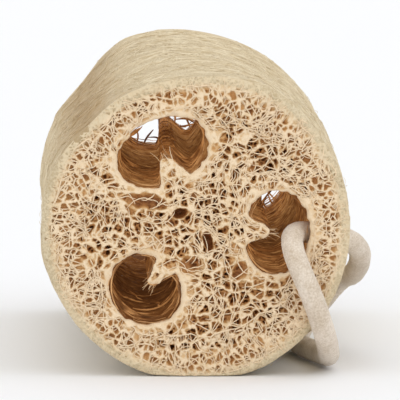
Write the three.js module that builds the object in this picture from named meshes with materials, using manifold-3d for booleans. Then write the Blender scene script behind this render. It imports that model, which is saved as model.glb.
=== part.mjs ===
// A natural loofah sponge: a cut length of dried loofah gourd that lies on its side, with a cotton hanging
// loop threaded through the wall of one of its three seed channels.
// Millimetres, +Z up. The sponge's axis runs along Y with the threaded end at -Y, and z = 0 is the surface
// that it lies on.
import * as THREE from 'three';
import { mergeVertices } from 'three/addons/utils/BufferGeometryUtils.js';
import Module from 'manifold-3d';

const wasm = await Module();
wasm.setup();

// Driving dimensions of the sponge
const LENGTH = 150;
const FRONT_RADIUS = 34.2;
const BACK_RADIUS = 36.3;
const FLAT_DEPTH = 1.3; // how much of the round underside is flattened where it lies
const VALLEY = { angle: 137, width: 13, depth: 1.3 }; // the shallow lengthwise furrow, in degrees and mm

// The raised net: cells of pocket and rib over the skin and both cut ends
const SKIN_ROWS = 13;
const SKIN_CELLS_ROUND = 20;
const END_RINGS = [
  { share: 0, cells: 1 },
  { share: 0.19, cells: 6 },
  { share: 0.38, cells: 11 },
  { share: 0.57, cells: 16 },
  { share: 0.75, cells: 21 },
  { share: 0.905, cells: 24 },
];
const EDGE_RING = { share: 0.985, cells: 22, setback: 1.2 };
const EDGE_TO_SKIN = 8.5; // from a cut end to the first row of skin cells
const RIB_SHARE = 0.3; // how far a rib's slope reaches into its cell
const SKIN_POCKET_DEPTH = 0.9;
const END_POCKET_DEPTH = 1.7;
const CREST_RISE = 0.35;
const JITTER = 0.24; // how far a cell strays from its row, as a share of the cell
const SEED = 7;

// The three seed channels: where each lies round the axis, and its half sizes out from the axis and across.
// The septum is the ridge that each holds on the side of the axis.
const CHANNELS = [
  { angle: 114, distance: 18.6, halfOut: 7.6, halfAcross: 10.6 },
  { angle: -3, distance: 17.8, halfOut: 7.4, halfAcross: 9.4 },
  { angle: 230, distance: 17.6, halfOut: 7.6, halfAcross: 8.4 },
];
const SEPTUM = { depth: 0.5, width: 0.42 };
const CHANNEL_SIDES = 26;
const LIP = { thickness: 1.3, rise: 0.5, reach: 7 };

// Side pockets of the two cut ends: place from the axis, half sizes and turn
const POCKETS = [
  { end: -1, x: -11.2, z: 6.2, halfLong: 4.8, halfShort: 1.9, turn: -8, depth: 7 },
  { end: -1, x: -1.3, z: -8, halfLong: 2.5, halfShort: 2.1, turn: 20, depth: 6 },
  { end: -1, x: 9.6, z: -9.4, halfLong: 2.2, halfShort: 1.8, turn: 70, depth: 6 },
  { end: 1, x: 3.4, z: 5.2, halfLong: 3.4, halfShort: 1.9, turn: 35, depth: 7 },
  { end: 1, x: -8.4, z: 0.6, halfLong: 2.3, halfShort: 2, turn: 0, depth: 6 },
];
const POCKET_SIDES = 10;

// The cotton hanging loop. Both ends meet in the pierced wall, so it is one closed loop to the eye.
const CORD_DIAMETER = 5;
const CORD_CLEARANCE = 0.5;
const CORD_SIDES = 10;
const CORD_STEPS = 56;
const HOLE_SHARE = 0.085; // how much of the route, at each of its ends, lies in the pierced hole
const HOLE_STEPS = 12;
const CORD_ROUTE = [
  [29.6, -64.7, 30.7],
  [25.8, -67.0, 31.4],
  [22.6, -70.3, 31.6],
  [21.2, -74.7, 30.7],
  [21.4, -78.7, 28.1],
  [22.8, -80.9, 24.2],
  [24.7, -81.2, 19.9],
  [26.5, -79.9, 15.2],
  [28.1, -76.7, 10.5],
  [29.3, -70.9, 6.3],
  [29.8, -63.4, 3.6],
  [29.2, -55.4, 2.8],
  [27.3, -46.9, 2.7],
  [25.4, -38.4, 2.7],
  [24.6, -29.9, 2.7],
  [24.8, -22.6, 3.0],
  [25.6, -17.6, 4.0],
  [27.6, -14.2, 6.7],
  [30.4, -13.0, 10.2],
  [33.1, -14.2, 13.7],
  [35.2, -17.6, 16.3],
  [36.1, -23.0, 17.5],
  [36.8, -30.6, 18.6],
  [37.3, -38.6, 20.3],
  [37.7, -46.8, 22.9],
  [37.3, -54.0, 26.0],
  [35.4, -59.6, 28.5],
  [32.7, -62.9, 29.9],
  [30.1, -64.4, 30.6],
];

const radians = THREE.MathUtils.degToRad;

// A small seeded generator, so that the net is the same each time
function seededRandom(seed) {
  let state = seed >>> 0;
  return () => {
    state = (state + 0x6d2b79f5) >>> 0;
    let mixed = Math.imul(state ^ (state >>> 15), 1 | state);
    mixed = (mixed + Math.imul(mixed ^ (mixed >>> 7), 61 | mixed)) ^ mixed;
    return ((mixed ^ (mixed >>> 14)) >>> 0) / 4294967296;
  };
}

function solidOf(geometry) {
  const bare = geometry.clone();
  bare.deleteAttribute('normal');
  bare.deleteAttribute('uv');
  const merged = mergeVertices(bare, 1e-3);
  return new wasm.Manifold(
    new wasm.Mesh({
      numProp: 3,
      vertProperties: new Float32Array(merged.attributes.position.array),
      triVerts: new Uint32Array(merged.index.array),
    }),
  );
}

function geometryOf(solid) {
  const mesh = solid.getMesh();
  const geometry = new THREE.BufferGeometry();
  geometry.setAttribute('position', new THREE.Float32BufferAttribute(mesh.vertProperties, 3));
  geometry.setIndex(new THREE.BufferAttribute(mesh.triVerts, 1));
  geometry.computeVertexNormals();
  return geometry;
}

// The sponge widens a little towards the back, and its axis rises so that the underside stays level
function radiusAt(y) {
  return THREE.MathUtils.lerp(FRONT_RADIUS, BACK_RADIUS, (y + LENGTH / 2) / LENGTH);
}

function axisHeight(y) {
  return radiusAt(y) - FLAT_DEPTH;
}

// Soft swellings round the skin, and the furrow along its upper left
function swelling(angle, y) {
  const slow = (Math.PI * y) / LENGTH;
  const fromFurrow = (THREE.MathUtils.euclideanModulo(angle, 2 * Math.PI) - radians(VALLEY.angle)) / radians(VALLEY.width);
  const above = 0.5 + 0.5 * Math.sin(angle);
  return (
    0.45 * Math.sin(3 * angle + slow + 0.6) * above +
    0.35 * Math.sin(5 * angle - 1.4 * slow) * above -
    VALLEY.depth * Math.exp(-fromFurrow * fromFurrow)
  );
}

// Moves geometry made about a level axis at z = 0 to where the sponge lies
function raiseToAxis(geometry) {
  const position = geometry.attributes.position;
  for (let i = 0; i < position.count; i++) {
    position.setZ(i, position.getZ(i) + axisHeight(position.getY(i)));
  }
  return geometry;
}

// The rows of cell centres, from the middle of the front end, round the edge, along the skin, to the back
function cellRows() {
  const half = LENGTH / 2;
  const front = [...END_RINGS, EDGE_RING].map((ring) => ({ ...ring, y: -half + (ring.setback ?? 0) }));
  const back = front.map((row) => ({ ...row, y: -row.y })).reverse();
  const skin = [];
  for (let row = 0; row < SKIN_ROWS; row++) {
    const along = row / (SKIN_ROWS - 1);
    skin.push({
      share: 1,
      cells: SKIN_CELLS_ROUND,
      y: THREE.MathUtils.lerp(-half + EDGE_TO_SKIN, half - EDGE_TO_SKIN, along),
      rowStep: (LENGTH - 2 * EDGE_TO_SKIN) / (SKIN_ROWS - 1),
    });
  }
  return [...front, ...skin, ...back];
}

function placeCells(rows, random) {
  return rows.map((row, rowNumber) => {
    const cells = [];
    for (let n = 0; n < row.cells; n++) {
      const step = (2 * Math.PI) / row.cells;
      const stray = row.cells > 1 ? JITTER * step * (2 * random() - 1) : 0;
      const angle = (n + 0.5 * (rowNumber % 2)) * step + stray;
      const y = row.y + (row.rowStep ? JITTER * row.rowStep * (2 * random() - 1) : 0);
      const straysInwards = row.cells > 1 && row.share < 0.9;
      const share = row.share + (straysInwards ? 0.045 * (2 * random() - 1) : 0);
      const radius = share * (radiusAt(y) + (row.share > 0.9 ? swelling(angle, y) : 0));
      cells.push({
        angle,
        onSkin: row.share === 1,
        point: new THREE.Vector3(radius * Math.cos(angle), y, radius * Math.sin(angle)),
      });
    }
    return cells;
  });
}

// Joins one row to the next with triangles, stepping along whichever row lags behind. A single cell has no
// steps: it is the middle of a fan.
function stitchRows(first, firstStart, second, secondStart) {
  const triangles = [];
  const firstSteps = first.length > 1 ? first.length : 0;
  const secondSteps = second.length > 1 ? second.length : 0;
  const angleOf = (row, n) => row[n % row.length].angle + Math.floor(n / row.length) * 2 * Math.PI;
  let a = 0;
  let b = 0;
  while (a < firstSteps || b < secondSteps) {
    const here = firstStart + (a % first.length);
    const opposite = secondStart + (b % second.length);
    const firstLags = a < firstSteps && angleOf(first, a + 1) < angleOf(second, b + 1);
    if (b >= secondSteps || firstLags) {
      a += 1;
      triangles.push([here, opposite, firstStart + (a % first.length)]);
    } else {
      b += 1;
      triangles.push([here, opposite, secondStart + (b % second.length)]);
    }
  }
  return triangles;
}

function cellMesh() {
  const random = seededRandom(SEED);
  const rows = placeCells(cellRows(), random);
  const starts = [];
  const cells = [];
  for (const row of rows) {
    starts.push(cells.length);
    cells.push(...row);
  }
  const triangles = [];
  for (let r = 0; r + 1 < rows.length; r++) {
    triangles.push(...stitchRows(rows[r], starts[r], rows[r + 1], starts[r + 1]));
  }
  return { cells, triangles };
}

// The triangles round each cell, in order, so that their middles outline it
function ringsOfTriangles(cells, triangles) {
  const nextOf = cells.map(() => new Map());
  triangles.forEach(([a, b, c], index) => {
    nextOf[a].set(b, { index, to: c });
    nextOf[b].set(c, { index, to: a });
    nextOf[c].set(a, { index, to: b });
  });
  return nextOf.map((steps) => {
    const ring = [];
    const start = steps.keys().next().value;
    let neighbour = start;
    do {
      const step = steps.get(neighbour);
      ring.push(step.index);
      neighbour = step.to;
    } while (neighbour !== start);
    return ring;
  });
}

// Ribs run along the cells' outlines, and each cell sinks to a pocket between them
function raisedNet() {
  const { cells, triangles } = cellMesh();
  const facing = (a, b, c) => new THREE.Triangle(a, b, c).getNormal(new THREE.Vector3());
  const corners = triangles.map((ids) => ids.map((id) => cells[id].point));
  const crests = corners.map(([a, b, c]) => {
    const middle = new THREE.Vector3().add(a).add(b).add(c).divideScalar(3);
    return middle.addScaledVector(facing(a, b, c), CREST_RISE);
  });
  const vertices = crests.map((crest) => crest.clone());
  const faces = [];
  ringsOfTriangles(cells, triangles).forEach((ring, id) => {
    const cell = cells[id];
    const outward = ring.reduce((sum, t) => sum.add(facing(...corners[t])), new THREE.Vector3()).normalize();
    const depth = cell.onSkin ? SKIN_POCKET_DEPTH : END_POCKET_DEPTH;
    const middle = ring.reduce((sum, t) => sum.add(crests[t]), new THREE.Vector3()).divideScalar(ring.length);
    const floorStart = vertices.length;
    for (const t of ring) {
      const inner = crests[t].clone().lerp(middle, RIB_SHARE).addScaledVector(outward, -0.75 * depth);
      vertices.push(inner);
    }
    const floorMiddle = vertices.length;
    vertices.push(middle.clone().addScaledVector(outward, -depth));
    ring.forEach((crest, n) => {
      const next = (n + 1) % ring.length;
      faces.push(crest, ring[next], floorStart + next);
      faces.push(crest, floorStart + next, floorStart + n);
      faces.push(floorStart + n, floorStart + next, floorMiddle);
    });
  });
  const geometry = new THREE.BufferGeometry();
  geometry.setAttribute('position', new THREE.Float32BufferAttribute(vertices.flatMap((v) => v.toArray()), 3));
  geometry.setIndex(faces);
  return geometry;
}

// A channel's outline, like a kidney whose notch is the septum on the side of the sponge's axis
function channelOutline(channel, grow) {
  const outward = radians(channel.angle);
  const points = [];
  for (let n = 0; n < CHANNEL_SIDES; n++) {
    const turn = (2 * Math.PI * n) / CHANNEL_SIDES;
    const fromSeptum = (turn - Math.PI) / SEPTUM.width;
    const reach = 1 - SEPTUM.depth * Math.exp(-fromSeptum * fromSeptum);
    const out = (channel.halfOut + grow) * Math.cos(turn) * reach;
    const across = (channel.halfAcross + grow) * Math.sin(turn);
    const x = (channel.distance + out) * Math.cos(outward) - across * Math.sin(outward);
    const z = (channel.distance + out) * Math.sin(outward) + across * Math.cos(outward);
    points.push(new THREE.Vector2(x, z));
  }
  return new THREE.Shape(points);
}

// Extrudes an outline in X and Z along Y, from one y to the other
function extrudeAlongY(shape, from, to) {
  const geometry = new THREE.ExtrudeGeometry(shape, { depth: to - from, bevelEnabled: false });
  geometry.rotateX(Math.PI / 2);
  geometry.translate(0, to, 0);
  return raiseToAxis(geometry);
}

function pocketCut(pocket) {
  const geometry = new THREE.CylinderGeometry(1, 0.6, 1, POCKET_SIDES);
  if (pocket.end > 0) geometry.rotateX(Math.PI);
  geometry.rotateX(Math.PI);
  geometry.scale(pocket.halfLong, 2 * pocket.depth, pocket.halfShort);
  geometry.rotateY(radians(pocket.turn));
  geometry.translate(pocket.x, (pocket.end * LENGTH) / 2, pocket.z);
  return raiseToAxis(geometry);
}

function cordCurve() {
  return new THREE.CatmullRomCurve3(CORD_ROUTE.map((point) => new THREE.Vector3(...point)), false, 'centripetal');
}

// A round tube that follows the cord's route
function tubeAlong(curve, radius, steps) {
  const section = [];
  for (let n = 0; n < CORD_SIDES; n++) {
    const turn = (2 * Math.PI * n) / CORD_SIDES;
    section.push(new THREE.Vector2(radius * Math.cos(turn), radius * Math.sin(turn)));
  }
  return new THREE.ExtrudeGeometry(new THREE.Shape(section), { steps, extrudePath: curve, bevelEnabled: false });
}

// The pierced hole follows both ends of the cord's route, from the skin through the wall to the channel
function holeCurve(curve) {
  const points = [];
  const parts = 5;
  for (let n = 0; n < parts; n++) points.push(curve.getPointAt(1 - HOLE_SHARE * (1 - n / parts)));
  for (let n = 1; n <= parts; n++) points.push(curve.getPointAt((HOLE_SHARE * n) / parts));
  return new THREE.CatmullRomCurve3(points, false, 'centripetal');
}

function buildSponge() {
  const half = LENGTH / 2;
  let body = solidOf(raiseToAxis(raisedNet()));
  for (const channel of CHANNELS) {
    const outline = channelOutline(channel, LIP.thickness);
    body = body.add(solidOf(extrudeAlongY(outline, -half - LIP.rise, -half + LIP.reach)));
    body = body.add(solidOf(extrudeAlongY(outline, half - LIP.reach, half + LIP.rise)));
  }
  for (const channel of CHANNELS) {
    body = body.subtract(solidOf(extrudeAlongY(channelOutline(channel, 0), -LENGTH, LENGTH)));
  }
  for (const pocket of POCKETS) body = body.subtract(solidOf(pocketCut(pocket)));
  const holeRadius = CORD_DIAMETER / 2 + CORD_CLEARANCE;
  body = body.subtract(solidOf(tubeAlong(holeCurve(cordCurve()), holeRadius, HOLE_STEPS)));
  const below = new THREE.BoxGeometry(4 * BACK_RADIUS, 2 * LENGTH, 2 * BACK_RADIUS);
  below.translate(0, 0, -BACK_RADIUS);
  return geometryOf(body.subtract(solidOf(below)));
}

function buildCord() {
  return tubeAlong(cordCurve(), CORD_DIAMETER / 2, CORD_STEPS);
}

const spongeMaterial = new THREE.MeshStandardMaterial({ color: 0xd2bd93, roughness: 0.95, metalness: 0 });
const cordMaterial = new THREE.MeshStandardMaterial({ color: 0xdcceb8, roughness: 0.9, metalness: 0 });

const sponge = new THREE.Group();

const loofah = new THREE.Mesh(buildSponge(), spongeMaterial);
loofah.name = 'loofah';
sponge.add(loofah);

const hangingCord = new THREE.Mesh(buildCord(), cordMaterial);
hangingCord.name = 'hanging_cord';
sponge.add(hangingCord);

export default sponge;
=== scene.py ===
import math
import random

import bmesh
import bpy
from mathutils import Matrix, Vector, kdtree, noise
from mathutils.geometry import delaunay_2d_cdt


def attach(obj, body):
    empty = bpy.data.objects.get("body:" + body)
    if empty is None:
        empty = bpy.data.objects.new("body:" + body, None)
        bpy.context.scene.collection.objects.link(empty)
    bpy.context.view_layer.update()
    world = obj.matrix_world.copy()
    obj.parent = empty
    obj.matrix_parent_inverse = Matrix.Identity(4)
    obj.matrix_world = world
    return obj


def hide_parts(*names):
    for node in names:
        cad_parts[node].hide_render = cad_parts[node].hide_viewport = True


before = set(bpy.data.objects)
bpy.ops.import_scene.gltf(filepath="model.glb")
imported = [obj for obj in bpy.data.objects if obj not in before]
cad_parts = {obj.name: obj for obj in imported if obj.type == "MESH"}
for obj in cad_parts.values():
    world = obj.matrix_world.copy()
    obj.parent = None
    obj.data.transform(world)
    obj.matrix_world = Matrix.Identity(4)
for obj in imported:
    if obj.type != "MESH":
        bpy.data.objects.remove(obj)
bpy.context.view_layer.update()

# Modelling is in millimetres; each finished mesh is scaled to metres.
MM = 0.001

# The photograph's view: places in it are pixels of the 400 x 400 frame.
FOCAL_PIXELS = 1930
VANISHING_PIXEL = (250, 115)
FRAMED_PIXEL = (292, 263)
ENLARGEMENT = 2.35
FRAME_PIXELS = 400
CAMERA_PLACE = (-21, -1075, 116)

# The sponge, as in the CAD model
LENGTH = 150
HALF = LENGTH / 2
FRONT_RADIUS = 34.2
BACK_RADIUS = 36.3
FLAT_DEPTH = 1.3
VALLEY_ANGLE = math.radians(137)
VALLEY_WIDTH = math.radians(13)
VALLEY_DEPTH = 1.3
CHANNELS = (
    {"angle": 114, "distance": 18.6, "out": 7.6, "across": 10.6},
    {"angle": -3, "distance": 17.8, "out": 7.4, "across": 9.4},
    {"angle": 230, "distance": 17.6, "out": 7.6, "across": 8.4},
)
SEPTUM_DEPTH = 0.8
SEPTUM_WIDTH = 0.25
# How far the upper core has drifted at the back, sideways and up, and how far up the lower core has
CORE_DRIFT = (1.9, -1.5)
LOWER_DRIFT = 1.6
# Side pockets of the cut ends: end, place from the axis, half sizes, depth and turn in degrees
POCKETS = (
    {"end": -1, "x": -11.2, "z": 6.2, "long": 4.8, "short": 1.9, "deep": 1.7, "turn": -8},
    {"end": -1, "x": -1.3, "z": -8.0, "long": 2.5, "short": 2.1, "deep": 1.4, "turn": 20},
    {"end": -1, "x": 9.6, "z": -9.4, "long": 2.2, "short": 1.8, "deep": 1.6, "turn": 70},
    {"end": -1, "x": 2.6, "z": -3.0, "long": 2.1, "short": 1.1, "deep": 3.0, "turn": -75},
    {"end": -1, "x": -3.6, "z": 3.4, "long": 1.9, "short": 1.2, "deep": 2.8, "turn": 10},
    {"end": 1, "x": 3.4, "z": 5.2, "long": 3.4, "short": 1.9, "deep": 1.7, "turn": 35},
    {"end": 1, "x": -8.4, "z": 0.6, "long": 2.3, "short": 2.0, "deep": 1.5, "turn": 0},
)
FRONT = -1
BACK = 1

# The hanging loop: its route is the CAD model's, in millimetres
CORD_DIAMETER = 5
CORD_ROUTE = (
    (29.6, -64.7, 30.7), (25.8, -67.0, 31.4), (22.6, -70.3, 31.6), (21.2, -74.7, 30.7),
    (21.4, -78.7, 28.1), (22.8, -80.9, 24.2), (24.7, -81.2, 19.9), (26.5, -79.9, 15.2),
    (28.1, -76.7, 10.5), (29.3, -70.9, 6.3), (29.8, -63.4, 3.6), (29.2, -55.4, 2.8),
    (27.3, -46.9, 2.7), (25.4, -38.4, 2.7), (24.6, -29.9, 2.7), (24.8, -22.6, 3.0),
    (25.6, -17.6, 4.0), (27.6, -14.2, 6.7), (30.4, -13.0, 10.2), (33.1, -14.2, 13.7),
    (35.2, -17.6, 16.3), (36.1, -23.0, 17.5), (36.8, -30.6, 18.6), (37.3, -38.6, 20.3),
    (37.7, -46.8, 22.9), (37.3, -54.0, 26.0), (35.4, -59.6, 28.5), (32.7, -62.9, 29.9),
    (30.1, -64.4, 30.6),
)


def tone(red, green, blue):
    """An sRGB colour, 0 to 255, as the linear colour that shaders take."""
    def linear(value):
        share = value / 255
        return share / 12.92 if share <= 0.04045 else ((share + 0.055) / 1.055) ** 2.4
    return (linear(red), linear(green), linear(blue), 1.0)


# Colours
STRAW_PALE = tone(236, 213, 180)
STRAW = tone(221, 190, 147)
# The deeper straw, amber and umber are painted shade: in pores, on fibres further in from the cut and on
# the ground behind the tissue.
STRAW_DEEP = tone(205, 158, 102)
AMBER = tone(166, 112, 62)
UMBER = tone(124, 76, 38)
# The channel walls' own tones; they darken further in as painted shade.
WALL_PALE = tone(188, 151, 106)
WALL_MID = tone(148, 108, 68)
WALL_DARK = tone(106, 71, 40)
# Colours of the painted glow in the channels.
GLOW_LOW = tone(50, 29, 13)
GLOW = tone(98, 63, 32)
GLOW_HIGH = tone(150, 108, 64)
SKIN_LIGHT = tone(233, 219, 190)
SKIN_MID = tone(218, 201, 168)
SKIN_SHADE = tone(200, 179, 142)
# Painted shade along the furrow on the upper left.
SKIN_FURROW_SHADE = tone(170, 139, 97)
# Painted shade in the skin's pits.
SKIN_PIT_SHADE = tone(172, 138, 92)
COTTON_LIGHT = tone(231, 218, 202)
COTTON_SHADE = tone(202, 184, 161)
FLOOR_WHITE = tone(244, 245, 247)


class Socket:
    """A shader output that can be added, multiplied and so on, as a number can."""

    def __init__(self, maker, socket):
        self.maker = maker
        self.socket = socket

    def __add__(self, other):
        return self.maker.maths("ADD", self, other)

    def __radd__(self, other):
        return self.maker.maths("ADD", other, self)

    def __sub__(self, other):
        return self.maker.maths("SUBTRACT", self, other)

    def __rsub__(self, other):
        return self.maker.maths("SUBTRACT", other, self)

    def __mul__(self, other):
        return self.maker.maths("MULTIPLY", self, other)

    def __rmul__(self, other):
        return self.maker.maths("MULTIPLY", other, self)


class Finish:
    """A procedural material under construction."""

    def __init__(self, name, roughness):
        self.material = bpy.data.materials.new(name)
        self.material.use_nodes = True
        self.tree = self.material.node_tree
        self.shader = self.tree.nodes["Principled BSDF"]
        self.shader.inputs["Roughness"].default_value = roughness
        self.shader.inputs["Specular IOR Level"].default_value = 0.3

    def node(self, kind, settings=None, inputs=None, output=0):
        made = self.tree.nodes.new(kind)
        for name, value in (settings or {}).items():
            if name == "stops":
                self.set_stops(made.color_ramp, value)
            else:
                setattr(made, name, value)
        for key, value in (inputs or {}).items():
            self.feed(made.inputs[key], value)
        return Socket(self, made.outputs[output])

    def feed(self, target, value):
        if isinstance(value, Socket):
            self.tree.links.new(value.socket, target)
        else:
            target.default_value = value

    @staticmethod
    def set_stops(ramp, stops):
        while len(ramp.elements) < len(stops):
            ramp.elements.new(0.5)
        for element, (place, colour) in zip(ramp.elements, stops):
            element.position = place
            element.color = colour

    def maths(self, operation, first, second=0.0):
        return self.node("ShaderNodeMath", {"operation": operation}, {0: first, 1: second})

    def place(self, scale=(1, 1, 1), turn=(0, 0, 0)):
        """Object coordinates in millimetres, stretched and turned."""
        whole = self.node("ShaderNodeTexCoord", output="Object")
        sizes = tuple(s / MM for s in scale)
        return self.node("ShaderNodeMapping", {}, {"Vector": whole, "Scale": sizes, "Rotation": turn})

    def grain(self, place, scale, detail=3.0, rough=0.55):
        inputs = {"Vector": place, "Scale": scale, "Detail": detail, "Roughness": rough}
        return self.node("ShaderNodeTexNoise", {}, inputs, "Fac")

    def cells(self, place, scale):
        """Distance from the middles of irregular cells."""
        return self.node("ShaderNodeTexVoronoi", {}, {"Vector": place, "Scale": scale}, "Distance")

    def spread(self, value, low, high):
        """The value's reach from low to high as 0 to 1."""
        inputs = {"Value": value, "From Min": low, "From Max": high}
        return self.node("ShaderNodeMapRange", {"clamp": True}, inputs, "Result")

    def blend(self, share, first, second):
        return self.node("ShaderNodeMix", {"data_type": "RGBA"}, {0: share, 6: first, 7: second}, 2)

    def ramp(self, value, stops):
        return self.node("ShaderNodeValToRGB", {"stops": stops}, {"Fac": value}, "Color")

    def measured(self, axis):
        """One object coordinate, in millimetres."""
        whole = self.node("ShaderNodeTexCoord", output="Object")
        return self.node("ShaderNodeSeparateXYZ", {}, {0: whole}, axis) * (1 / MM)

    def from_cut(self):
        """Millimetres inwards from the nearer cut end."""
        return HALF - self.maths("ABSOLUTE", self.measured("Y"))

    def relief(self, height, distance, strength=1.0):
        inputs = {"Height": height, "Distance": distance * MM, "Strength": strength}
        return self.node("ShaderNodeBump", {}, inputs, "Normal")

    def lit_through(self, glow):
        """A faint painted glow, for the light that comes through the net of the body."""
        self.feed(self.shader.inputs["Emission Color"], glow)
        self.shader.inputs["Emission Strength"].default_value = 1.0

    def done(self, colour, normal=None):
        self.feed(self.shader.inputs["Base Color"], colour)
        if normal is not None:
            self.feed(self.shader.inputs["Normal"], normal)
        return self.material


# Shape of the sponge

def smooth_step(value, low, high):
    share = min(1.0, max(0.0, (value - low) / (high - low)))
    return share * share * (3 - 2 * share)


def radius_at(y):
    return FRONT_RADIUS + (BACK_RADIUS - FRONT_RADIUS) * (y + HALF) / LENGTH


def axis_height(y):
    return radius_at(y) - FLAT_DEPTH


def swelling(angle, y):
    """How far the skin stands out there: soft lumps on the upper side, less the furrow."""
    slow = math.pi * y / LENGTH
    from_valley = (angle % math.tau - VALLEY_ANGLE) / VALLEY_WIDTH
    above = 0.5 + 0.5 * math.sin(angle)
    soft = 0.45 * math.sin(3 * angle + slow + 0.6) + 0.35 * math.sin(5 * angle - 1.4 * slow)
    return soft * above - VALLEY_DEPTH * math.exp(-from_valley * from_valley)


def lying(x, y, z):
    """A point about the sponge's axis, put where it lies: the core drifted, the underside flattened."""
    inner = max(0.0, 1 - (x * x + z * z) / radius_at(y) ** 2) * (y + HALF) / LENGTH
    upper = smooth_step(z, -9, 7)
    x += CORE_DRIFT[0] * inner * upper
    height = z + (CORE_DRIFT[1] * upper + LOWER_DRIFT * (1 - upper)) * inner + axis_height(y)
    touching = 0.5
    if height < touching:
        height = touching * math.exp((height - touching) / 0.9)
    return Vector((x, y, height))


def on_skin(angle, y, rise):
    radius = radius_at(y) + swelling(angle, y) + rise
    return lying(radius * math.cos(angle), y, radius * math.sin(angle))


def septum_reach(from_septum):
    """How much of the way to its inner side a channel still goes, at an angle from its septum."""
    return 1 - SEPTUM_DEPTH * math.exp(-abs(from_septum / SEPTUM_WIDTH) ** 3)


def channel_point(channel, turn, grow):
    reach = septum_reach(turn % math.tau - math.pi)
    out = channel["distance"] + (channel["out"] + grow) * math.cos(turn) * reach
    across = (channel["across"] + grow) * math.sin(turn)
    angle = math.radians(channel["angle"])
    x = out * math.cos(angle) - across * math.sin(angle)
    z = out * math.sin(angle) + across * math.cos(angle)
    return x, z


def inside_channel(x, z, grow):
    for channel in CHANNELS:
        angle = math.radians(channel["angle"])
        out = x * math.cos(angle) + z * math.sin(angle) - channel["distance"]
        across = (z * math.cos(angle) - x * math.sin(angle)) / (channel["across"] + grow)
        if abs(across) >= 1:
            continue
        turn = math.asin(across)
        right = (channel["out"] + grow) * math.cos(turn)
        if -right * septum_reach(turn) < out < right:
            return True
    return False


def from_pocket(pocket, x, z):
    """How far a place lies from a pocket's middle, along it and across it."""
    angle = math.radians(pocket["turn"])
    dx, dz = x - pocket["x"], z - pocket["z"]
    return dx * math.cos(angle) + dz * math.sin(angle), dz * math.cos(angle) - dx * math.sin(angle)


def inside_pocket(end, x, z, grow):
    for pocket in POCKETS:
        if pocket["end"] == end:
            along, across = from_pocket(pocket, x, z)
            if math.hypot(along / (pocket["long"] + grow), across / (pocket["short"] + grow)) < 1:
                return True
    return False


# Tools for meshes

def ruffle(x, y, z, seed=0.0):
    return noise.noise(Vector((x + 17.3 * seed, y - 9.1 * seed, z + 5.7 * seed)))


def finish_piece(bm, name, material):
    """Scales the mesh to metres and makes it a piece that rides on the sponge."""
    bmesh.ops.recalc_face_normals(bm, faces=bm.faces[:])
    bmesh.ops.scale(bm, vec=(MM, MM, MM), verts=bm.verts[:])
    mesh = bpy.data.meshes.new(name)
    bm.to_mesh(mesh)
    bm.free()
    mesh.polygons.foreach_set("use_smooth", [True] * len(mesh.polygons))
    mesh.materials.append(material)
    piece = bpy.data.objects.new(name, mesh)
    bpy.context.scene.collection.objects.link(piece)
    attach(piece, "root")
    return piece


def gather(whole, bm):
    """Adds one mesh to another."""
    part = bpy.data.meshes.new("part")
    bm.to_mesh(part)
    bm.free()
    whole.from_mesh(part)
    bpy.data.meshes.remove(part)


def mapped_sheet(columns, rows, place):
    """A grid whose corners go where place(column share, row share) says."""
    bm = bmesh.new()
    bmesh.ops.create_grid(bm, x_segments=columns, y_segments=rows, size=0.5)
    for corner in bm.verts:
        corner.co = place(corner.co.x + 0.5, corner.co.y + 0.5)
    return bm


def jittered(width, height, spacing, stray, rng):
    """Points in staggered rows, each strayed from its row."""
    points = []
    row_height = spacing * math.sqrt(3) / 2
    rows = int(height / row_height) + 1
    columns = int(width / spacing) + 1
    for row in range(rows):
        for column in range(columns):
            u = (column + 0.5 * (row % 2) + stray * rng.uniform(-1, 1)) * spacing
            v = (row + stray * rng.uniform(-1, 1)) * row_height
            points.append((u, v))
    return points


def web(points, longest, keep, joined, rng):
    """A flat sheet of irregular cells, about three to each point, with no side over the longest."""
    spots, _, triangles = delaunay_2d_cdt([Vector(p) for p in points], [], [], 0, 1e-6)[:3]
    bm = bmesh.new()
    corners = [bm.verts.new((p.x, p.y, 0)) for p in spots]
    for triangle in triangles:
        a, b, c = (spots[i] for i in triangle)
        centre = (a + b + c) / 3
        side = max((a - b).length, (b - c).length, (c - a).length)
        if side < longest and keep(centre.x, centre.y):
            bm.faces.new([corners[i] for i in triangle])
    loose = [v for v in bm.verts if not v.link_faces]
    bmesh.ops.delete(bm, geom=loose, context="VERTS")
    bmesh.ops.bevel(bm, geom=bm.verts[:], offset=33, offset_type="PERCENT", segments=1,
                    affect="VERTICES", profile=0.5, material=-1)
    inner = [e for e in bm.edges if len(e.link_faces) == 2 and rng.random() < joined]
    bmesh.ops.dissolve_edges(bm, edges=inner, use_verts=True)
    return bm


def shake(bm, in_plane, out_of_plane, coarse, seed):
    for v in bm.verts:
        u, w = v.co.x * coarse, v.co.y * coarse
        v.co.x += in_plane * ruffle(u, w, 3.1, seed)
        v.co.y += in_plane * ruffle(u, w, 8.7, seed)
        v.co.z += out_of_plane * ruffle(0.6 * u, 0.6 * w, 14.9, seed)


def strut_web(bm, thickness):
    """Turns the cells' edges into thin fibres."""
    bmesh.ops.wireframe(bm, faces=bm.faces[:], thickness=thickness, offset=0, use_replace=True,
                        use_boundary=True, use_even_offset=False, use_crease=False, crease_weight=0.01,
                        use_relative_offset=False, material_offset=0)


def settle(bm, place):
    for v in bm.verts:
        v.co = place(*v.co)


def on_end(end, depth):
    """Places a flat sheet on a cut end, sunk by the depth; its rim bows back with the rounded edge."""
    def place(u, v, w):
        past_edge = max(0.0, math.hypot(u, v) - (radius_at(end * HALF) - 3.0))
        sunk = depth + 0.14 * past_edge * past_edge - w
        x, z = swollen(-end * u, v, end)
        return lying(x, end * (HALF - sunk), z)
    return place


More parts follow.
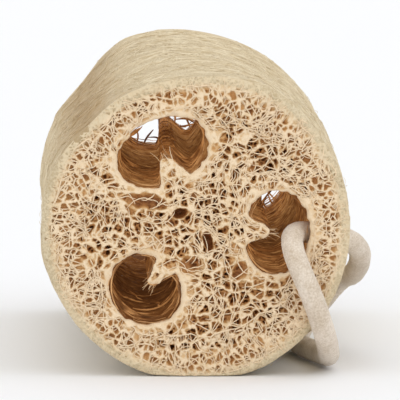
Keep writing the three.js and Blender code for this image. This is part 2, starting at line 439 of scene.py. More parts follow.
def strands(name, paths, radius, material, marks=None):
    """Thin fibres along paths of points, thinner at their ends."""
    curve = bpy.data.curves.new(name, "CURVE")
    curve.dimensions = "3D"
    curve.bevel_depth = radius
    curve.bevel_resolution = 0
    curve.use_fill_caps = True
    for path in paths:
        spline = curve.splines.new("POLY")
        spline.points.add(len(path) - 1)
        for n, (point, spot) in enumerate(zip(spline.points, path)):
            point.co = (*spot, 1)
            point.radius = 1 - 0.55 * abs(2 * n / (len(path) - 1) - 1) ** 2
    holder = bpy.data.objects.new(name, curve)
    bpy.context.scene.collection.objects.link(holder)
    bpy.context.view_layer.update()
    mesh = bpy.data.meshes.new_from_object(holder.evaluated_get(bpy.context.evaluated_depsgraph_get()))
    bpy.data.objects.remove(holder)
    bm = bmesh.new()
    bm.from_mesh(mesh)
    bpy.data.meshes.remove(mesh)
    if marks is not None:
        marks(bm)
    return finish_piece(bm, name, material)


# Camera

def make_camera():
    data = bpy.data.cameras.new("view")
    data.sensor_width = 36
    data.lens = data.sensor_width * FOCAL_PIXELS * ENLARGEMENT / FRAME_PIXELS
    data.clip_end = 100
    camera = bpy.data.objects.new("view", data)
    bpy.context.scene.collection.objects.link(camera)
    camera.location = Vector(CAMERA_PLACE) * MM
    across = (FRAMED_PIXEL[0] - VANISHING_PIXEL[0]) / FOCAL_PIXELS
    down = (FRAMED_PIXEL[1] - VANISHING_PIXEL[1]) / FOCAL_PIXELS
    camera.rotation_euler = Vector((across, 1, -down)).to_track_quat("-Z", "Y").to_euler()
    bpy.context.scene.camera = camera


# Cotton hanging loop

def smooth_route(points, step):
    """Points at an even step along a smooth curve through the ones given."""
    dense = []
    padded = [2 * points[0] - points[1], *points, 2 * points[-1] - points[-2]]
    pieces = 16
    for before, start, end, after in zip(padded, padded[1:], padded[2:], padded[3:]):
        for n in range(pieces):
            t = n / pieces
            dense.append(0.5 * (2 * start + (end - before) * t
                                + (2 * before - 5 * start + 4 * end - after) * t * t
                                + (3 * start - before - 3 * end + after) * t * t * t))
    dense.append(points[-1])
    travelled = [0.0]
    for start, end in zip(dense, dense[1:]):
        travelled.append(travelled[-1] + (end - start).length)
    count = round(travelled[-1] / step)
    even = []
    at = 0
    for n in range(count + 1):
        want = travelled[-1] * n / count
        while at < len(dense) - 2 and travelled[at + 1] < want:
            at += 1
        share = (want - travelled[at]) / max(travelled[at + 1] - travelled[at], 1e-9)
        even.append(dense[at].lerp(dense[at + 1], min(1.0, share)))
    return even, travelled[-1]


def make_cord():
    route, length = smooth_route([Vector(p) for p in CORD_ROUTE], 0.5)
    directions = []
    for n in range(len(route)):
        ahead = route[min(n + 1, len(route) - 1)] - route[max(n - 1, 0)]
        directions.append(ahead.normalized())
    sides = [directions[0].orthogonal().normalized()]
    for direction in directions[1:]:
        sides.append((sides[-1] - direction * sides[-1].dot(direction)).normalized())
    columns = 36
    strand_pairs = 8
    pitch = 9.0

    def place(around, along):
        n = round(along * (len(route) - 1))
        angle = math.tau * around
        lay = math.tau * length * along / pitch
        ridge = math.sin(strand_pairs * angle + strand_pairs * lay / 2)
        counter = math.sin(strand_pairs * angle - strand_pairs * lay / 2)
        radius = CORD_DIAMETER / 2 - 0.06 + 0.055 * ridge * counter
        radius += 0.05 * ruffle(2 * math.cos(angle), 0.5 * length * along, 2 * math.sin(angle), 4)
        out = sides[n] * math.cos(angle) + directions[n].cross(sides[n]) * math.sin(angle)
        return route[n] + out * radius

    bm = mapped_sheet(columns, len(route) - 1, place)
    bmesh.ops.remove_doubles(bm, verts=bm.verts[:], dist=1e-4)
    bmesh.ops.holes_fill(bm, edges=[e for e in bm.edges if e.is_boundary], sides=0)
    piece = finish_piece(bm, "cotton_loop", cotton())
    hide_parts("hanging_cord")
    ring_centres = [tuple(p * MM) for p in route]
    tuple(ring_centres[0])
    length * MM


def cotton():
    finish = Finish("undyed cotton", 0.85)
    fine = finish.grain(finish.place(), 2.2, 4)
    speckle = finish.grain(finish.place(), 6.0, 2)
    soft = finish.grain(finish.place(), 0.25, 2)
    colour = finish.blend(finish.spread(fine * 0.6 + soft * 0.4, 0.38, 0.62), COTTON_SHADE, COTTON_LIGHT)
    normal = finish.relief(fine + 0.5 * speckle, 0.25, 0.8)
    finish.shader.inputs["Sheen Weight"].default_value = 0.3
    return finish.done(colour, normal)


# Finishes of the sponge

def end_fibre():
    """Loose fibres of the cut ends: pale where cut, turning amber further in, patchily, as painted shade.
    """
    finish = Finish("cut fibre", 0.6)
    depth = finish.from_cut()
    patchy = finish.grain(finish.place(), 0.22, 3)
    sunk = finish.spread(depth + 2.4 * (patchy - 0.5), 0.3, 6.0)
    colour = finish.ramp(sunk, ((0.0, STRAW_PALE), (0.4, STRAW), (1.0, AMBER)))
    return finish.done(colour)


def cut_tissue():
    """Tissue of the cut ends: pale on the walls; painted shade makes the pores golden, the deepest brown
    and the tissue darker further in from the cut.
    """
    finish = Finish("cut tissue", 0.55)
    # The pores' depth and the reach in from the cut give painted shade; the patches and fine grain are the
    # tissue's own tones.
    sunk = finish.node("ShaderNodeAttribute", {"attribute_name": "pore"}, {}, "Fac")
    inwards = 1.25 * finish.spread(finish.from_cut(), 1.2, 12)
    patchy = finish.grain(finish.place(), 0.2, 3)
    fine = finish.grain(finish.place(), 1.4, 3)
    shade = sunk * 1.25 + inwards + 0.45 * (patchy - 0.46) + 0.35 * (fine - 0.5)
    stops = ((0.02, STRAW_PALE), (0.18, STRAW), (0.42, STRAW_DEEP), (0.75, AMBER), (1.0, UMBER))
    colour = finish.ramp(shade, stops)
    felt = finish.node("ShaderNodeAttribute", {"attribute_name": "felt"}, {}, "Fac")
    colour = finish.blend(felt * (0.9 - 0.7 * sunk), colour, SKIN_MID)
    normal = finish.relief(finish.grain(finish.place(), 3.0, 4, 0.65), 0.2, 0.6)
    return finish.done(colour, normal)


def pith():
    """The dim ground behind the tissue, grained brown and amber as painted shade."""
    finish = Finish("pith", 0.8)
    fine = finish.grain(finish.place(), 0.9, 4)
    colour = finish.ramp(fine, ((0.35, UMBER), (0.5, AMBER), (0.66, STRAW_DEEP)))
    return finish.done(colour, finish.relief(fine, 0.8))


def channel_wall():
    """The channels' inner skin, streaked round with fibres and darker further in as painted shade; a
    painted warm glow stands for the light that comes through it.
    """
    finish = Finish("channel wall", 0.8)
    finish.shader.inputs["Specular IOR Level"].default_value = 0.08
    depth = finish.from_cut()
    swirled = finish.grain(finish.place((0.35, 1.1, 0.35), (0.25, 0, 0.2)), 0.9, 5, 0.65)
    banded = finish.grain(finish.place((0.25, 1.5, 0.25), (-0.3, 0, 0.2)), 0.9, 5, 0.7)
    rings = banded * 0.4 + swirled * 0.6
    mottled = finish.grain(finish.place(), 0.25, 3)
    sunk = finish.spread(depth + 80 * (rings - 0.5) + 30 * (mottled - 0.5), -8, 26)
    colour = finish.ramp(sunk, ((0.0, WALL_PALE), (0.4, WALL_MID), (1.0, WALL_DARK)))
    # Painted shade on the glow: dimmer lower down, near the cut ends and deep inside.
    lower = 1 - finish.spread(finish.measured("Z"), 14, 28)
    near = 1 - finish.spread(depth, 3, 18)
    painted_dimming = 0.16 * near + 0.09 * finish.spread(depth, 18, 60) + 0.1 * lower
    light = 0.8 * rings + 0.2 * mottled + 0.03 - painted_dimming
    finish.lit_through(finish.ramp(light, ((0.34, GLOW_LOW), (0.45, GLOW), (0.56, GLOW_HIGH))))
    return finish.done(colour, finish.relief(rings, 0.9))


def wall_fibre():
    """Fibres that cling to the channels' walls, lit through a little as the walls are: a painted glow,
    dimmer deep inside and near the cut ends.
    """
    finish = Finish("wall fibre", 0.7)
    tints = finish.grain(finish.place(), 0.2, 3)
    depth = finish.from_cut()
    deeper = tints - 0.16 * finish.spread(depth, 16, 50) - 0.14 * (1 - finish.spread(depth, 3, 18))
    finish.lit_through(finish.ramp(deeper, ((0.26, GLOW_LOW), (0.42, GLOW), (0.58, GLOW_HIGH))))
    return finish.done(finish.ramp(tints, ((0.34, WALL_DARK), (0.48, WALL_MID), (0.64, WALL_PALE))))


def skin_felt():
    """The felt between the skin's threads: pitted here and there, with painted shade in the pits and along
    the furrow.
    """
    finish = Finish("skin felt", 0.9)
    fibres = finish.grain(finish.place((1.6, 0.9, 1.6)), 1.5, 5, 0.7)
    mottled = finish.grain(finish.place(), 0.11, 4)
    clusters = finish.grain(finish.place(), 0.07, 3)
    middles = 1 - finish.cells(finish.place(), 0.8)
    spots = finish.spread(middles, 0.66, 0.86) * finish.spread(clusters, 0.46, 0.6)
    light = 0.75 * fibres + 0.25 * mottled
    colour = finish.ramp(light, ((0.4, SKIN_SHADE), (0.53, SKIN_MID), (0.64, SKIN_LIGHT)))
    colour = finish.blend(furrow_share(finish, mottled), colour, SKIN_FURROW_SHADE)
    colour = finish.blend(spots * 0.7, colour, SKIN_PIT_SHADE)
    return finish.done(colour, finish.relief(fibres - spots, 0.5, 0.8))


def furrow_share(finish, mottled):
    """How strongly the furrow's shade shows, patchy as the mottling is."""
    furrow = finish.node("ShaderNodeAttribute", {"attribute_name": "furrow"}, {}, "Fac")
    return furrow * (0.3 + 0.7 * mottled)


def skin_fibre():
    """Threads of the skin: pale straw, a little greyer here and there, with painted shade along the furrow.
    """
    finish = Finish("skin fibre", 0.8)
    light = finish.grain(finish.place(), 0.25, 4)
    mottled = finish.grain(finish.place(), 0.11, 4)
    colour = finish.ramp(light, ((0.3, SKIN_SHADE), (0.44, SKIN_MID), (0.6, SKIN_LIGHT)))
    return finish.done(finish.blend(furrow_share(finish, mottled), colour, SKIN_FURROW_SHADE))


# Pieces of the sponge

# The skin against the sponge's radius, and the core under it
WALL_RISE = -0.12
CORE_INSET = 3.2
# The cut ends: a mouth against its channel, the rounded edge, the tissue's back and the core's floor
LIP_GROW = 0.1
EDGE_ROLL = 1.6
FACE_THICKNESS = 6.6
FLOOR_DEPTH = 5.6
# Between the points of a plain disc
PLAIN_SPACING = 3.0
# Sides of the round outlines
CIRCLE_SIDES = 120
MOUTH_SIDES = 150
CHANNEL_SIDES = 110


def pore_tree(points, rng):
    """Middles of pores, to be searched, and how deep each goes."""
    tree = kdtree.KDTree(len(points))
    for number, (u, v) in enumerate(points):
        tree.insert((u, v, 0), number)
    tree.balance()
    return tree, [rng.uniform(0.4, 1.0) for _ in points]


def pore_share(pores, u, v, wall, slope):
    """0 on the wall between two pores, growing towards a pore's own depth inside it."""
    tree, depths = pores
    (_, nearest, near), (_, _, far) = tree.find_n((u, v, 0), 2)
    return depths[nearest] * smooth_step(far - near, wall, wall + slope)


class Tissue:
    """A cut end as a depth below its plane: pores between walls, smooth lips and pockets."""

    heart_spacing = 2.3
    heart_stray = 0.45
    heart_kept = 0.78
    ring_spacing = 1.7
    ring_stretch = 1.4
    fine_spacing = 1.15
    felt_spacing = 0.85
    stray = 0.42

    def __init__(self, end, seed):
        rng = random.Random(seed)
        self.end = end
        self.seed = seed
        self.radius = radius_at(end * HALF)
        self.pockets = [pocket for pocket in POCKETS if pocket["end"] == end]
        heart = self.scattered(self.heart_spacing, self.heart_stray, rng)
        heart = [spot for spot in heart if rng.random() < self.heart_kept]
        self.heart = pore_tree(heart, rng)
        self.fine = pore_tree(self.scattered(self.fine_spacing, self.stray, rng), rng)
        self.felt = pore_tree(self.scattered(self.felt_spacing, self.stray, rng), rng)
        self.ring_middle = self.radius - 5
        around = math.tau * self.ring_middle
        ring = jittered(around, self.radius / self.ring_stretch, self.ring_spacing, self.stray, rng)
        overlap = 4
        after = [(u + around, v) for u, v in ring if u < overlap]
        before = [(u - around, v) for u, v in ring if u > around - overlap]
        self.ring = pore_tree(ring + after + before, rng)
        self.mouths = kdtree.KDTree(len(CHANNELS) * MOUTH_SIDES)
        for number, channel in enumerate(CHANNELS):
            for n in range(MOUTH_SIDES):
                x, z = channel_point(channel, math.tau * n / MOUTH_SIDES, LIP_GROW)
                self.mouths.insert((x, z, 0), number)
        self.mouths.balance()

    def scattered(self, spacing, stray, rng):
        """Strayed points all over the cut end, from its middle."""
        points = jittered(2 * self.radius, 2 * self.radius, spacing, stray, rng)
        return [(u - self.radius, v - self.radius) for u, v in points]

    def heart_pores(self, x, z, wild):
        fine = pore_share(self.fine, x, z, 0.18, 0.6)
        large = 3.6 * pore_share(self.heart, x, z, 0.34 + 0.4 * wild, 0.9)
        return min(large, 1.1 + 2.2 * fine) + 0.45 * fine

    def ring_pores(self, x, z):
        u = math.atan2(z, x) % math.tau * self.ring_middle
        v = math.hypot(x, z) / self.ring_stretch
        fine = pore_share(self.fine, x, z, 0.15, 0.5)
        large = 1.7 * pore_share(self.ring, u, v, 0.24, 0.5)
        return min(large, 1.1 + 0.4 * fine) + 0.06 * fine

    def crest(self, x, z, from_mouth):
        """Depth of the walls' tops: a wavy cut that rolls into the mouths and round the outer edge."""
        wavy = 0.4 * ruffle(0.12 * x, 0.12 * z, 1.0, self.seed)
        wavy += 0.12 * ruffle(0.6 * x, 0.6 * z, 2.0, self.seed)
        wavy *= smooth_step(self.radius - math.hypot(x, z), 1.0, 5.0)
        lip = 0.7 * (1 - min(1.0, from_mouth / 1.1)) ** 2
        past_edge = min(1.0, max(0.0, math.hypot(x, z) - (self.radius - EDGE_ROLL)) / EDGE_ROLL)
        return 0.12 + wavy + lip + (EDGE_ROLL - 0.25) * (1 - math.sqrt(1 - past_edge * past_edge))

    def depth(self, x, z):
        """Depth at a place, and how far it is sunk below the walls' tops."""
        from_mouth = self.mouths.find((x, z, 0))[2]
        wild = ruffle(0.16 * x, 0.16 * z, 5.0, self.seed)
        swayed_x = x + 0.8 * ruffle(0.45 * x, 0.45 * z, 3.0) + 0.25 * ruffle(1.7 * x, 1.7 * z, 4.0)
        swayed_z = z + 0.8 * ruffle(0.45 * x, 0.45 * z, 7.0) + 0.25 * ruffle(1.7 * x, 1.7 * z, 9.0)
        from_edge = self.radius - math.hypot(x, z)
        heart_share = smooth_step(from_edge + 2.5 * wild, 7.0, 9.0)
        sunk = 0.0
        if heart_share > 0:
            sunk += heart_share * self.heart_pores(swayed_x, swayed_z, wild)
        if heart_share < 1:
            sunk += (1 - heart_share) * self.ring_pores(swayed_x, swayed_z)
        felted = 1 - smooth_step(from_edge + 2 * wild, 1.6, 4.0)
        sunk *= 1 - 0.85 * felted
        sunk += 0.42 * felted * pore_share(self.felt, swayed_x, swayed_z, 0.12, 0.4)
        sunk *= 0.3 + 0.7 * smooth_step(from_mouth + 2.5 * wild, 0.8, 4.2)
        sunk *= smooth_step(from_mouth + 0.8 * wild, 0.35, 1.1)
        for pocket in self.pockets:
            sunk = self.pocketed(pocket, x, z, sunk)
        return self.crest(x, z, from_mouth) + sunk, sunk

    @staticmethod
    def pocketed(pocket, x, z, sunk):
        """The depth with a side pocket's bowl in it, whose outline is a little uneven."""
        along, across = from_pocket(pocket, x, z)
        share = math.hypot(along / pocket["long"], across / pocket["short"])
        share *= 1 + 0.3 * ruffle(0.5 * x, 0.5 * z, 2.0)
        if share > 1.5:
            return sunk
        bowl = pocket["deep"] * math.sqrt(max(0.0, 1 - share * share)) + 0.3 * ruffle(0.9 * x, 1.6 * z, 6.0)
        bowl = max(0.0, bowl) * (1 - smooth_step(share, 0.9, 1.2))
        return sunk * (0.3 + 0.7 * smooth_step(share, 1.1, 1.5)) + bowl


def swollen(x, z, end):
    """A place on a cut end, moved with the lumps and the furrow of the skin round it."""
    out = math.hypot(x, z)
    y = end * HALF
    shift = swelling(math.atan2(z, x), y) * (out / radius_at(y)) ** 4 / max(out, 1.0)
    return x * (1 + shift), z * (1 + shift)


def holed_disc(rim, rim_sides, grow, hole_sides, spacing, rng, share=0.0):
    """A flat disc with the three channels left open, at the share of the way down."""
    outline = []
    for n in range(rim_sides):
        turn = math.tau * n / rim_sides
        outline.append((rim * math.cos(turn), rim * math.sin(turn)))
    loops = [(0, rim_sides)]
    for channel in CHANNELS:
        loops.append((len(outline), hole_sides))
        outline += [channel_point(channel, math.tau * n / hole_sides, grow) for n in range(hole_sides)]
    edges = [(start + n, start + (n + 1) % count) for start, count in loops for n in range(count)]
    clear = 0.6 * spacing
    for u, v in jittered(2 * rim, 2 * rim, spacing, 0.3, rng):
        x, z = u - rim, v - rim
        if math.hypot(x, z) < rim - clear and not inside_channel(x, z, grow + clear):
            outline.append((x, z))
    spots, _, triangles = delaunay_2d_cdt([Vector(p) for p in outline], edges, [], 0, 1e-6)[:3]
    bm = bmesh.new()
    corners = [bm.verts.new((spot.x, spot.y, share)) for spot in spots]
    for triangle in triangles:
        centre = sum((spots[i] for i in triangle), Vector((0, 0))) / 3
        if centre.length < rim and not inside_channel(centre.x, centre.y, grow - 0.01):
            bm.faces.new([corners[i] for i in triangle])
    bmesh.ops.delete(bm, geom=[v for v in bm.verts if not v.link_faces], context="VERTS")
    return bm


# Rows of a mouth's lip: outwards from the mouth, and share of the way down
LIP = (
    (0.0, 0.0), (-0.1, 0.06), (-0.12, 0.14), (-0.05, 0.28),
    (0.05, 0.45), (0.1, 0.65), (0.3, 0.85), (0.9, 1.0),
)


def make_face(tissue, spacing, material, name):
    """A cut end's tissue, with the first stretch of the channels' walls and a plain back."""
    rng = random.Random(tissue.seed)
    rim = tissue.radius - 0.08
    rim_sides = 420
    inset = 1.8
    whole = holed_disc(rim, rim_sides, LIP_GROW, MOUTH_SIDES, spacing, rng)
    back_grow = LIP_GROW + LIP[-1][0]
    back = holed_disc(rim - inset, rim_sides, back_grow, MOUTH_SIDES, PLAIN_SPACING, rng, 1.0)
    gather(whole, back)

    def side(around, along):
        turn = math.tau * around
        radius = rim - inset * along
        return Vector((radius * math.cos(turn), radius * math.sin(turn), along))

    gather(whole, mapped_sheet(rim_sides, 2, side))
    for channel in CHANNELS:
        def lip(around, along, channel=channel):
            grow, share = LIP[round(along * (len(LIP) - 1))]
            x, z = channel_point(channel, math.tau * around, LIP_GROW + grow)
            return Vector((x, z, share))

        gather(whole, mapped_sheet(MOUTH_SIDES, len(LIP) - 1, lip))
    bmesh.ops.remove_doubles(whole, verts=whole.verts[:], dist=2e-3)
    pore = whole.verts.layers.float.new("pore")
    felt = whole.verts.layers.float.new("felt")
    for v in whole.verts:
        x, z, share = v.co
        depth, sunk = tissue.depth(x, z)
        # The pore value drives the painted shade of the pores in the tissue's finish.
        v[pore] = (sunk / 3) ** 0.8 if share == 0 else 0.0
        v[felt] = 1 - smooth_step(tissue.radius - math.hypot(x, z), 0.6, 3.8)
        depth += (FACE_THICKNESS - depth) * share
        frayed = 0.5 * (1 - smooth_step(tissue.mouths.find((x, z, 0))[2], 0.3, 2.5))
        aside = frayed * ruffle(0.7 * x, 0.7 * z, 3.0, 8)
        upwards = frayed * ruffle(0.7 * x, 0.7 * z, 9.0, 8)
        x, z = swollen(x + aside, z + upwards, tissue.end)
        v.co = lying(x, tissue.end * (HALF - depth), z)
    return finish_piece(whole, name, material)


def skin_rise(angle, y):
    """The skin's own low lumps."""
    x, z = 30 * math.cos(angle), 30 * math.sin(angle)
    broad = 0.5 * ruffle(0.1 * x, 0.07 * y, 0.1 * z, 3) + 0.35 * ruffle(0.2 * x, 0.16 * y, 0.2 * z, 1)
    return broad + 0.14 * ruffle(0.6 * x, 0.5 * y, 0.6 * z, 2)


def make_skin(material):
    """The felted wall: its outside, the rounded edges of both cut ends, and a plain inside."""
    thick = 3.2
    edge = 1.5
    steps = 160
    edge_steps = 5
    columns = 240
    rounded = []
    for n in range(1, edge_steps + 1):
        turn = math.pi / 2 * n / edge_steps
        rise = WALL_RISE - edge * (1 - math.cos(turn))
        rounded.append((rise, HALF - edge + (edge - 0.3) * math.sin(turn)))
    profile = [(WALL_RISE, (HALF - edge) * (2 * n / steps - 1)) for n in range(steps + 1)]
    profile += rounded
    profile.append((WALL_RISE - thick, HALF - 1.8))
    profile.append((WALL_RISE - thick, 1.8 - HALF))
    profile += [(rise, -y) for rise, y in reversed(rounded)]

    def place(around, along):
        angle = -math.tau * around
        rise, y = profile[round(along * len(profile)) % len(profile)]
        if rise > WALL_RISE - thick:
            rise += skin_rise(angle, y)
        return on_skin(angle, y, rise)

    bm = mapped_sheet(columns, len(profile), place)
    bmesh.ops.remove_doubles(bm, verts=bm.verts[:], dist=1e-4)
    mark_furrow(bm)
    return finish_piece(bm, "loofah_skin", material)


def mark_furrow(bm):
    """Notes at each corner how near it is to the furrow that runs along the upper left, for the furrow's
    painted shade.
    """
    furrow = bm.verts.layers.float.new("furrow")
    for v in bm.verts:
        angle = math.atan2(v.co.z - axis_height(v.co.y), v.co.x) % math.tau
        from_valley = (angle - VALLEY_ANGLE) / (1.3 * VALLEY_WIDTH)
        v[furrow] = math.exp(-from_valley * from_valley)


def make_core(material, wall_material):
    """The body behind the cut ends: plain floors and outside, and the three channels' walls."""
    rng = random.Random(11)
    bm = bmesh.new()
    reach = HALF - FLOOR_DEPTH
    rows = 130
    grow = 0.25

    def outside(around, along):
        y = reach * (2 * along - 1)
        angle = math.tau * around
        radius = radius_at(y) - CORE_INSET - 1.2 * (1 - abs(y) / reach)
        return lying(radius * math.cos(angle), y, radius * math.sin(angle))

    def wall_of(channel):
        middle = math.radians(channel["angle"])
        centre = Vector((math.cos(middle), math.sin(middle))) * channel["distance"]

        def place(around, along):
            y = reach * (2 * along - 1)
            spot = Vector(channel_point(channel, math.tau * around, grow))
            fade = min(1.0, (reach - abs(y)) / 3)
            bulge = 0.4 + 0.4 * ruffle(0.3 * spot.x, 0.35 * y, 0.3 * spot.y, channel["angle"])
            bulge += 0.5 * ruffle(0.25 * spot.x, 0.12 * y, 0.25 * spot.y, 5)
            bulge += 0.3 * ruffle(0.8 * spot.x, 1.3 * y + 0.5 * spot.x, 0.8 * spot.y, 6)
            spot += (spot - centre).normalized() * fade * bulge
            return lying(spot.x, y, spot.y)
        return place

    sheets = [mapped_sheet(CIRCLE_SIDES, 2, outside)]
    sheets += [mapped_sheet(CHANNEL_SIDES, rows, wall_of(channel)) for channel in CHANNELS]
    for number, sheet in enumerate(sheets):
        for face in sheet.faces:
            face.material_index = 1 if number else 0
        gather(bm, sheet)
    for end in (FRONT, BACK):
        rim = radius_at(end * reach) - CORE_INSET
        floor = holed_disc(rim, CIRCLE_SIDES, grow, CHANNEL_SIDES, PLAIN_SPACING, rng)
        settle(floor, lambda x, z, _, end=end: lying(x, end * reach, z))
        gather(bm, floor)
    bmesh.ops.remove_doubles(bm, verts=bm.verts[:], dist=2e-3)
    piece = finish_piece(bm, "loofah_pith", material)
    piece.data.materials.append(wall_material)
    return piece


def make_ring_net(end, seed, material, name):
    """The fine net between the skin and the heart, its cells longer outwards than round."""
    rng = random.Random(seed)
    outer = radius_at(end * HALF) - 1.2
    inner = outer - 8.6
    middle = (inner + outer) / 2
    depth = 0.3
    spacing = 1.95
    strut = 0.28
    joined = 0.15
    stretch = 1.45
    width = math.tau * middle
    height = (outer - inner) / stretch
    points = jittered(width + spacing, height, spacing, 0.38, rng)

    def keep(u, v):
        out = inner + v * stretch
        x, z = -end * out * math.cos(u / middle), out * math.sin(u / middle)
        return not inside_channel(x, z, 1.6)

    bm = web(points, 2.3 * spacing, keep, joined, rng)
    shake(bm, 0.5, 0.0, 0.8, seed)
    strut_web(bm, strut)
    shake(bm, 0.12, 0.9, 0.5, seed + 1)
    flat = on_end(end, depth)

    def place(u, v, w):
        angle = u / middle + 0.05 * ruffle(0.2 * u, 0.2 * v, 0, seed)
        out = inner + v * stretch
        return flat(out * math.cos(angle), out * math.sin(angle), w)

    settle(bm, place)
    return finish_piece(bm, name, material)


def make_face_fibres(tissue, seed, material, name):
    """Fine fibres over a cut end: round the mouths, in and out through the ring, every way in the heart."""
    rng = random.Random(seed)
    count = 520
    radius = 0.14
    stride = 0.55
    reach = tissue.radius - 1.2
    paths = []
    while len(paths) < count:
        out = reach * math.sqrt(rng.random())
        bearing = rng.uniform(0, math.tau)
        x, z = out * math.cos(bearing), out * math.sin(bearing)
        spot, _, from_mouth = tissue.mouths.find((x, z, 0))
        if inside_channel(x, z, 0.9):
            continue
        if from_mouth < rng.uniform(1.5, 5.0):
            heading = math.atan2(z - spot.y, x - spot.x) + math.pi / 2 + rng.gauss(0, 0.2)
            pull = 1 / (5 + from_mouth)
        elif out > reach - 8:
            if rng.random() < 0.5:
                continue
            heading = bearing + rng.choice((0, math.pi / 2)) + rng.gauss(0, 0.4)
            pull = 0.0
        else:
            heading = 5 * ruffle(0.1 * x, 0.1 * z, 3.0, seed) + rng.choice((0, math.pi / 2))
            heading += rng.gauss(0, 0.3)
            pull = 0.0
        path = []
        lift = rng.uniform(-0.05, 0.3)
        bridging = rng.random() < 0.35
        steps = rng.randrange(7, 22)
        for n in range(steps + 1):
            from_mouth = tissue.mouths.find((x, z, 0))[2]
            blocked = inside_channel(x, z, 0.6) or (not bridging and inside_pocket(tissue.end, x, z, 0.1))
            if blocked or math.hypot(x, z) > reach + 0.6:
                break
            sunk = tissue.crest(x, z, from_mouth) + lift + 0.2 * ruffle(0.5 * x, 0.5 * z, 1.0, seed)
            if n in (0, steps):
                sunk += 0.4
            moved_x, moved_z = swollen(x, z, tissue.end)
            path.append(lying(moved_x, tissue.end * (HALF - sunk), moved_z))
            heading += stride * pull + rng.gauss(0, 0.28)
            x += stride * math.cos(heading)
            z += stride * math.sin(heading)
        if len(path) > 4:
            paths.append(path)
    return strands(name, paths, radius, material)


def make_septum_tufts(end, material, name):
    """Frayed fibres that run out of each septum's edge."""
    rng = random.Random(90 + end)
    steps = 8
    paths = []
    for channel in CHANNELS:
        angle = math.radians(channel["angle"])
        for _ in range(20):
            across = rng.uniform(-1.6, 1.6)
            root = channel["distance"] - 0.8 * channel["out"]
            reach = channel["distance"] + rng.uniform(-0.5, 0.16) * channel["out"] - root
            depth = rng.uniform(0.4, 5.5)
            fan = rng.uniform(-0.6, 0.6) + 0.3 * across
            path = []
            for n in range(steps + 1):
                share = n / steps
                out = root + reach * share
                side = across * (1 - 0.5 * share) + 1.8 * fan * share ** 3
                side += 0.4 * ruffle(2 * share, depth, across)
                sunk = depth + 0.5 * ruffle(0.5 * out, across, depth) - 0.3 * share
                x = out * math.cos(angle) - side * math.sin(angle)
                z = out * math.sin(angle) + side * math.cos(angle)
                path.append(lying(x, end * (HALF - sunk), z))
            paths.append(path)
    return strands(name, paths, 0.1, material)


def make_channel_fibres(count, radius, seed, material, name):
    """Fibres that curl round the channels' walls."""
    rng = random.Random(seed)
    steps = 12
    paths = []
    for channel in CHANNELS:
        for _ in range(count):
            end = rng.choice((FRONT, FRONT, BACK))
            y = end * (HALF - 2.5 - 60 * rng.random() ** 1.5)
            turn = rng.uniform(0, math.tau)
            span = rng.uniform(0.5, 2.2)
            pitch = rng.gauss(0, 9)
            grow = rng.uniform(-0.5, 0.2)
            path = []
            for n in range(steps + 1):
                share = n / steps
                swerve = 0.25 * ruffle(3 * share, y, turn)
                lean = grow - 0.4 * math.sin(math.pi * share)
                x, z = channel_point(channel, turn + span * share + swerve, lean)
                along = y + pitch * share + 1.6 * ruffle(2 * share, 3 * turn, y)
                path.append(lying(x, max(1 - HALF, min(HALF - 1, along)), z))
            paths.append(path)
    return strands(name, paths, radius, material)


def make_septum_strands(material, name):
    """Bundles of fibres along each septum's edge, from one cut end to the other."""
    rng = random.Random(76)
    stride = 4
    paths = []
    for channel in CHANNELS:
        for _ in range(18):
            from_edge = rng.gauss(0, 0.09)
            grow = rng.uniform(-0.6, 0.1)
            y = -HALF + rng.uniform(1.5, 5)
            last = HALF - rng.uniform(1.5, 7)
            path = []
            while y < last:
                sway = 0.05 * ruffle(0.15 * y, 9 * from_edge, grow)
                lean = grow + 0.5 * ruffle(0.2 * y, grow, 4)
                x, z = channel_point(channel, math.pi + from_edge + sway, lean)
                path.append(lying(x, y, z))
                y += stride
            paths.append(path)
    return strands(name, paths, 0.2, material)


def make_ragged_fibres(material, name):
    """Ragged fibres that hang into the back of the upper and the right-hand channel, some right across."""
    rng = random.Random(75)
    steps = 8
    paths = []
    for channel in CHANNELS[:2]:
        angle = math.radians(channel["angle"])
        middle = Vector((math.cos(angle), math.sin(angle))) * channel["distance"]
        for number in range(60):
            y = HALF - rng.uniform(1.2, 14)
            turn = rng.uniform(0, math.tau)
            start = Vector(channel_point(channel, turn, 0.5))
            if number % 6:
                stop = start.lerp(middle, rng.uniform(0.15, 0.5))
                stop += Vector((rng.gauss(0, 1.2), rng.gauss(0, 1.2)))
            else:
                stop = Vector(channel_point(channel, turn + rng.uniform(1.0, 2.4), 0.5))
            bow = Vector((rng.gauss(0, 0.7), rng.gauss(0, 0.7)))
            slant = rng.gauss(0, 1.5)
            path = []
            for n in range(steps + 1):
                share = n / steps
                spot = start.lerp(stop, share) + bow * math.sin(math.pi * share)
                path.append(lying(spot.x, min(HALF - 1, y + slant * share), spot.y))
            paths.append(path)
    return strands(name, paths, 0.26, material)


def make_skin_fibres(material, name):
    """The threads that the skin is felted from: mostly lengthwise or slanting, some round it."""
    rng = random.Random(73)
    count = 2700
    radius = 0.15
    stride = 1.6
    paths = []
    while len(paths) < count:
        angle = rng.uniform(0, math.tau)
        y = rng.uniform(-HALF, HALF)
        heading = rng.choice((0, 0.8, -0.8, 1.5, 1.5)) + rng.gauss(0, 0.4)
        lift = rng.uniform(-0.06, 0.1)
        steps = rng.randrange(4, 10)
        path = []
        for n in range(steps + 1):
            if abs(y) > HALF - 0.7:
                break
            past_edge = max(0.0, abs(y) - (HALF - 1.7))
            rise = WALL_RISE + skin_rise(angle, y) + lift - 0.4 * past_edge * past_edge
            if n in (0, steps):
                rise -= 0.3
            path.append(on_skin(angle, y, rise))
            heading += rng.gauss(0, 0.45)
            y += stride * math.cos(heading)
            angle += stride * math.sin(heading) / FRONT_RADIUS
        if len(path) > 3:
            paths.append(path)
    return strands(name, paths, radius, material, mark_furrow)


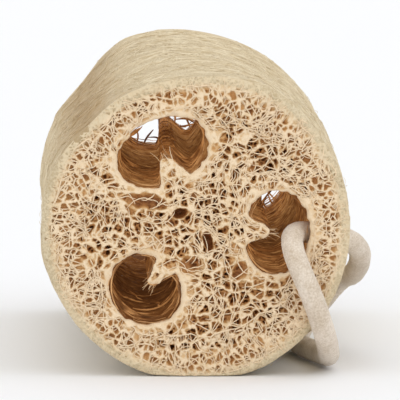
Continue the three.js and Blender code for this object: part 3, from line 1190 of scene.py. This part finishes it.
def make_hairs(material, name):
    """Short stray fibres that lie on the skin and lift a little off it."""
    rng = random.Random(72)
    count = 350
    radius = 0.05
    steps = 5
    stride = 0.5
    paths = []
    for _ in range(count):
        angle = rng.uniform(0, math.tau)
        y = rng.uniform(-HALF + 1.5, HALF - 1.5)
        heading = rng.uniform(0, math.tau)
        lift = rng.uniform(0.1, 0.9)
        path = []
        for n in range(steps + 1):
            share = n / steps
            rise = WALL_RISE + skin_rise(angle, y) - 0.1 + lift * math.sin(2.6 * share)
            path.append(on_skin(angle, y, rise))
            heading += rng.gauss(0, 0.3)
            angle += stride * math.cos(heading) / 35
            y += stride * math.sin(heading)
        if abs(y) < HALF - 1:
            paths.append(path)
    return strands(name, paths, radius, material, mark_furrow)


# Studio

def make_studio():
    bm = bmesh.new()
    bmesh.ops.create_circle(bm, cap_ends=True, segments=96, radius=9)
    mesh = bpy.data.meshes.new("floor")
    bm.to_mesh(mesh)
    bm.free()
    floor = bpy.data.objects.new("floor", mesh)
    bpy.context.scene.collection.objects.link(floor)
    finish = Finish("white floor", 0.7)
    mesh.materials.append(finish.done(FLOOR_WHITE))

    world = bpy.data.worlds.new("studio")
    bpy.context.scene.world = world
    world.use_nodes = True
    background = world.node_tree.nodes["Background"]
    background.inputs["Color"].default_value = (1, 1, 1, 1)
    background.inputs["Strength"].default_value = 0.9

    def soft_light(name, aim, spread, strength):
        data = bpy.data.lights.new(name, "SUN")
        data.angle = math.radians(spread)
        data.energy = strength
        light = bpy.data.objects.new(name, data)
        bpy.context.scene.collection.objects.link(light)
        light.rotation_euler = Vector(aim).to_track_quat("-Z", "Y").to_euler()

    soft_light("overhead", (-0.35, 0.4, -1), spread=80, strength=0.6)
    soft_light("front", (0.25, 1, -0.35), spread=40, strength=0.25)
    bpy.context.scene.view_settings.view_transform = "Standard"


make_camera()
make_cord()
make_studio()

fibre = end_fibre()
felt_fibre = skin_fibre()
tissue_finish = cut_tissue()
walls = channel_wall()
make_skin(skin_felt())
core = make_core(pith(), walls)
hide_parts("loofah")

for end, label, seed, spacing in ((FRONT, "front", 21, 0.2), (BACK, "back", 61, 0.22)):
    tissue = Tissue(end, seed)
    make_face(tissue, spacing, tissue_finish, "cut_face_" + label)
    make_ring_net(end, seed + 1, fibre, "ring_net_" + label)
    make_face_fibres(tissue, seed + 2, fibre, "face_fibres_" + label)
    make_septum_tufts(end, fibre, "septum_tufts_" + label)

clinging = wall_fibre()
make_channel_fibres(count=60, radius=0.09, seed=71, material=clinging, name="channel_fibres")
make_channel_fibres(count=42, radius=0.2, seed=74, material=clinging, name="channel_cords")
make_septum_strands(clinging, "septum_strands")
make_ragged_fibres(clinging, "ragged_fibres")
make_skin_fibres(felt_fibre, "skin_fibres")
make_hairs(felt_fibre, "skin_hairs")
